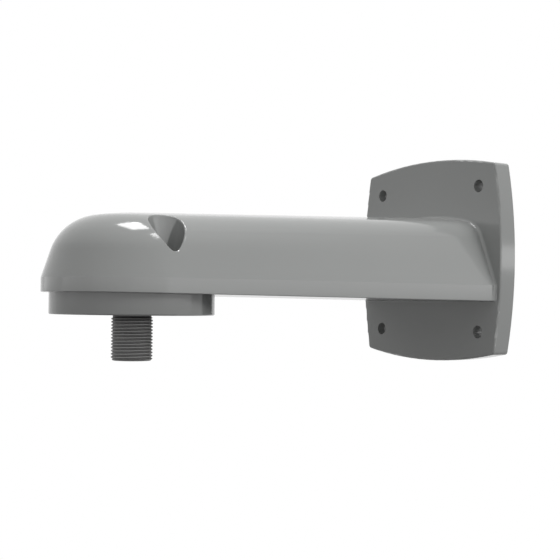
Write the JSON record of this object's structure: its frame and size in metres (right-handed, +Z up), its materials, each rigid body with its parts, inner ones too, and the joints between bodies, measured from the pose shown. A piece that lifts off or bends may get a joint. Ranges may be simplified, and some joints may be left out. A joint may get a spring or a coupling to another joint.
{
  "type": "camera wall bracket",
  "caption": "Cast wall bracket for a camera: square wall plate, tapered hollow arm and a round pipe adapter with a threaded nipple under its end.",
  "frame": {"origin": "centre of the wall plate's back face, which lies against the wall", "axes": "+X out of the wall along the arm, +Z up, +Y to the left of someone who stands at the wall and looks out along the arm"},
  "size_m": [0.331, 0.1542, 0.1542],
  "materials": {
    "bracket_paint": "smooth glossy powder coat, light grey",
    "adapter_paint": "smooth glossy powder coat, light grey",
    "nipple_steel": "zinc plated steel",
    "screw_steel": "stainless steel"
  },
  "bodies": {
    "root": {"bracket_casting": "bracket_paint", "pipe_adapter": "adapter_paint", "threaded_nipple": "nipple_steel", "adapter_screws": "screw_steel"}
  },
  "joints": []
}
